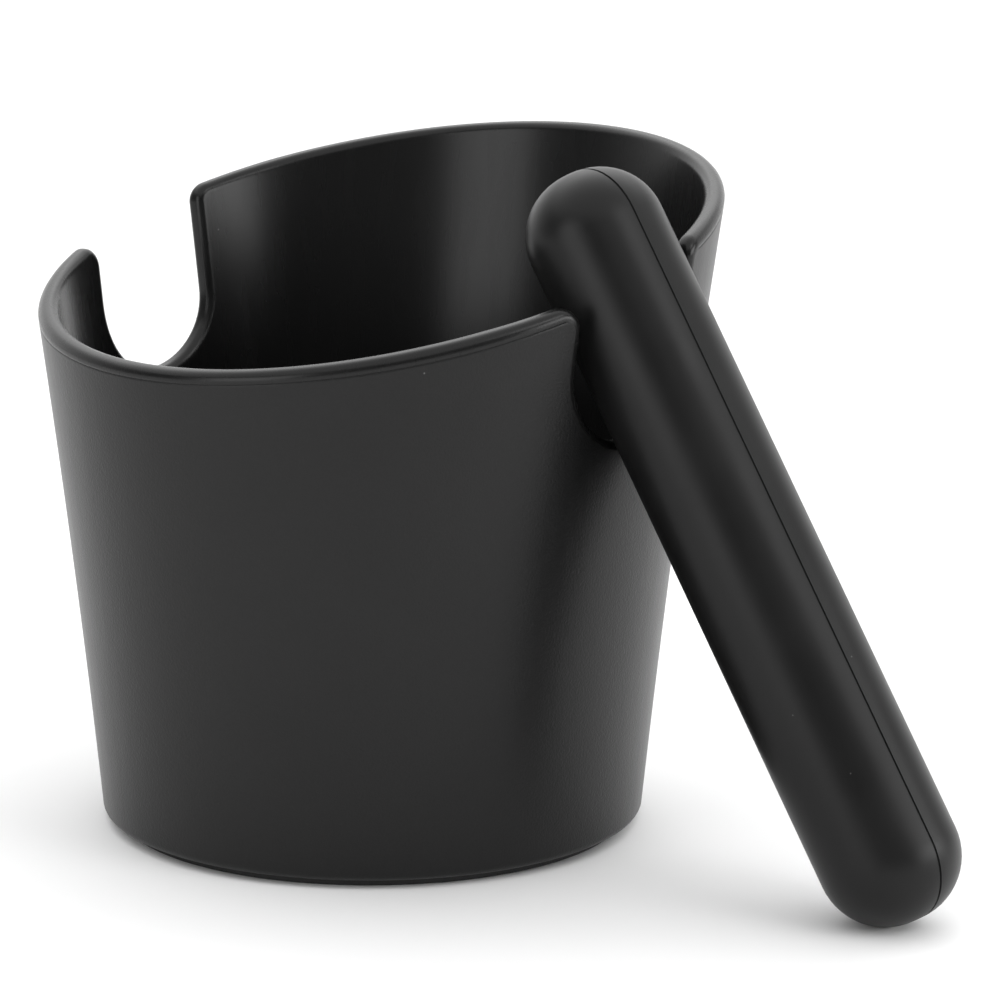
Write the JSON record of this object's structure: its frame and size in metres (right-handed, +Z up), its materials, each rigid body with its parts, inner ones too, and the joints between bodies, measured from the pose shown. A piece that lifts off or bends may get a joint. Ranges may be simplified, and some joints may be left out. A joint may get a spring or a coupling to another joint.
{
  "type": "espresso knock box",
  "caption": "Open flared tub with a slanted rim and half-round slots, and a loose rubber-covered bar that lies across them or leans in one.",
  "frame": {"origin": "on the counter, at the middle of the base pad's underside, on the tub's axis", "axes": "+Z up; the bar slots lie along X and the loose bar leans in the +X slot; the slanted rim is lowest towards -Y and highest towards +Y"},
  "size_m": [0.1832, 0.1242, 0.124],
  "materials": {
    "tub_plastic": "fine spark texture outside, satin rim and inside",
    "pad_rubber": "matte",
    "bar_rubber": "smooth matte",
    "core_steel": "drawn tube",
    "plug_plastic": "moulded"
  },
  "bodies": {
    "tub_body": {"tub": "tub_plastic", "base_pad": "pad_rubber"},
    "knock_bar": {"bar_sleeve": "bar_rubber", "bar_core_tube": "core_steel", "bar_lower_plug": "plug_plastic", "bar_upper_plug": "plug_plastic"}
  },
  "joints": [
    {"name": "bar_lift", "type": "slide", "parent": "tub_body", "child": "knock_bar", "axis": [0, 0, 1], "range_m": [0, 0.12]}
  ]
}
